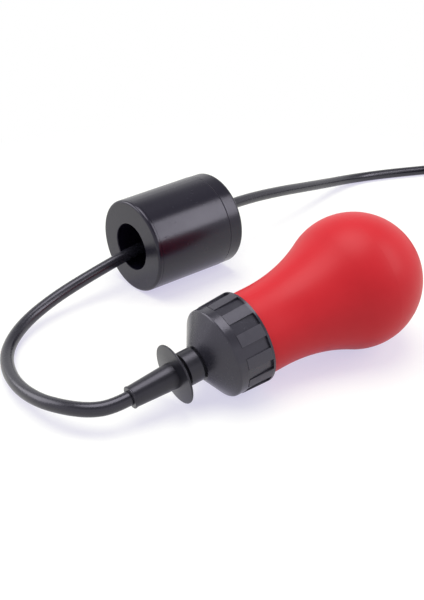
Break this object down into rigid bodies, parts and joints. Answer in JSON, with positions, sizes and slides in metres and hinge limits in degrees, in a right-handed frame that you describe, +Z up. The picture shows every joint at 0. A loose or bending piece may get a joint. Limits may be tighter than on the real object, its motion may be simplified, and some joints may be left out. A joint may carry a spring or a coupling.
{
  "type": "cable float switch",
  "caption": "Cable float switch: pear-shaped float with a ribbed clamping cap and rubber boot, round counterweight threaded on a flexible cable.",
  "frame": {"origin": "on the floor under the middle of the float's own bounding box", "axes": "+X along the float from its cable end to its bulb, +Y towards the counterweight, +Z up; the float lies on its bulb and on the rim of its cap"},
  "size_m": [0.5805, 0.3056, 0.0864],
  "materials": {
    "red_shell": "satin",
    "black_plastic": "satin",
    "weight_plastic": "gloss",
    "boot_rubber": "satin",
    "cable_rubber": "satin",
    "seal_rubber": "matte",
    "washer_plastic": "satin",
    "capsule_plastic": "satin",
    "cradle_plastic": "satin",
    "switch_plastic": "satin",
    "plunger_plastic": "satin",
    "spring_steel": "satin",
    "ball_steel": "polished",
    "screw_steel": "zinc plated",
    "terminal_brass": "satin",
    "ferrule_tin": "tinned",
    "core_brown_plastic": "satin",
    "core_blue_plastic": "satin",
    "core_black_plastic": "satin",
    "cast_iron": "rough"
  },
  "bodies": {
    "float_and_cable": {"float_shell": "red_shell", "clamping_cap": "black_plastic", "cable_boot": "boot_rubber", "thrust_washer": "washer_plastic", "neck_seal": "seal_rubber", "capsule_body": "capsule_plastic", "capsule_lid": "capsule_plastic", "cradle_left": "cradle_plastic", "cradle_right": "cradle_plastic", "cradle_screws": "screw_steel", "microswitch_case": "switch_plastic", "lever_pin": "spring_steel", "terminal_common": "terminal_brass", "terminal_open": "terminal_brass", "terminal_closed": "terminal_brass", "switch_screws": "screw_steel", "cable_clamp": "cradle_plastic", "clamp_screws": "screw_steel", "cable_tail": "cable_rubber", "core_brown": "core_brown_plastic", "core_blue": "core_blue_plastic", "core_black": "core_black_plastic", "cable": "cable_rubber", "cable_coil": "cable_rubber", "cable_end": "cable_rubber", "end_core_brown": "core_brown_plastic", "end_core_blue": "core_blue_plastic", "end_core_black": "core_black_plastic", "end_ferrules": "ferrule_tin", "weight_shell": "weight_plastic", "weight_lid": "weight_plastic", "weight_core": "cast_iron"},
    "ball": {"steel_ball": "ball_steel"},
    "lever": {"microswitch_lever": "spring_steel"},
    "plunger": {"microswitch_plunger": "plunger_plastic"}
  },
  "joints": [
    {"name": "ball_roll", "type": "slide", "parent": "float_and_cable", "child": "ball", "axis": [0.9684, -0.2006, 0.1484], "range_m": [0, 0.01837]},
    {"name": "lever_hinge", "type": "hinge", "parent": "float_and_cable", "child": "lever", "pos_m": [0.02275, -0.00035, 0.03757], "axis": [-0.1515, 0, 0.9885], "range_deg": [0, 6.5]},
    {"name": "plunger_slide", "type": "slide", "parent": "float_and_cable", "child": "plunger", "axis": [0, -1, 0], "range_m": [0, 0.0008]}
  ],
  "couplings": [
    {"joint": "lever_hinge", "follows": "ball_roll", "rad_per_m": 6.17},
    {"joint": "plunger_slide", "follows": "ball_roll", "ratio": 0.0434}
  ]
}
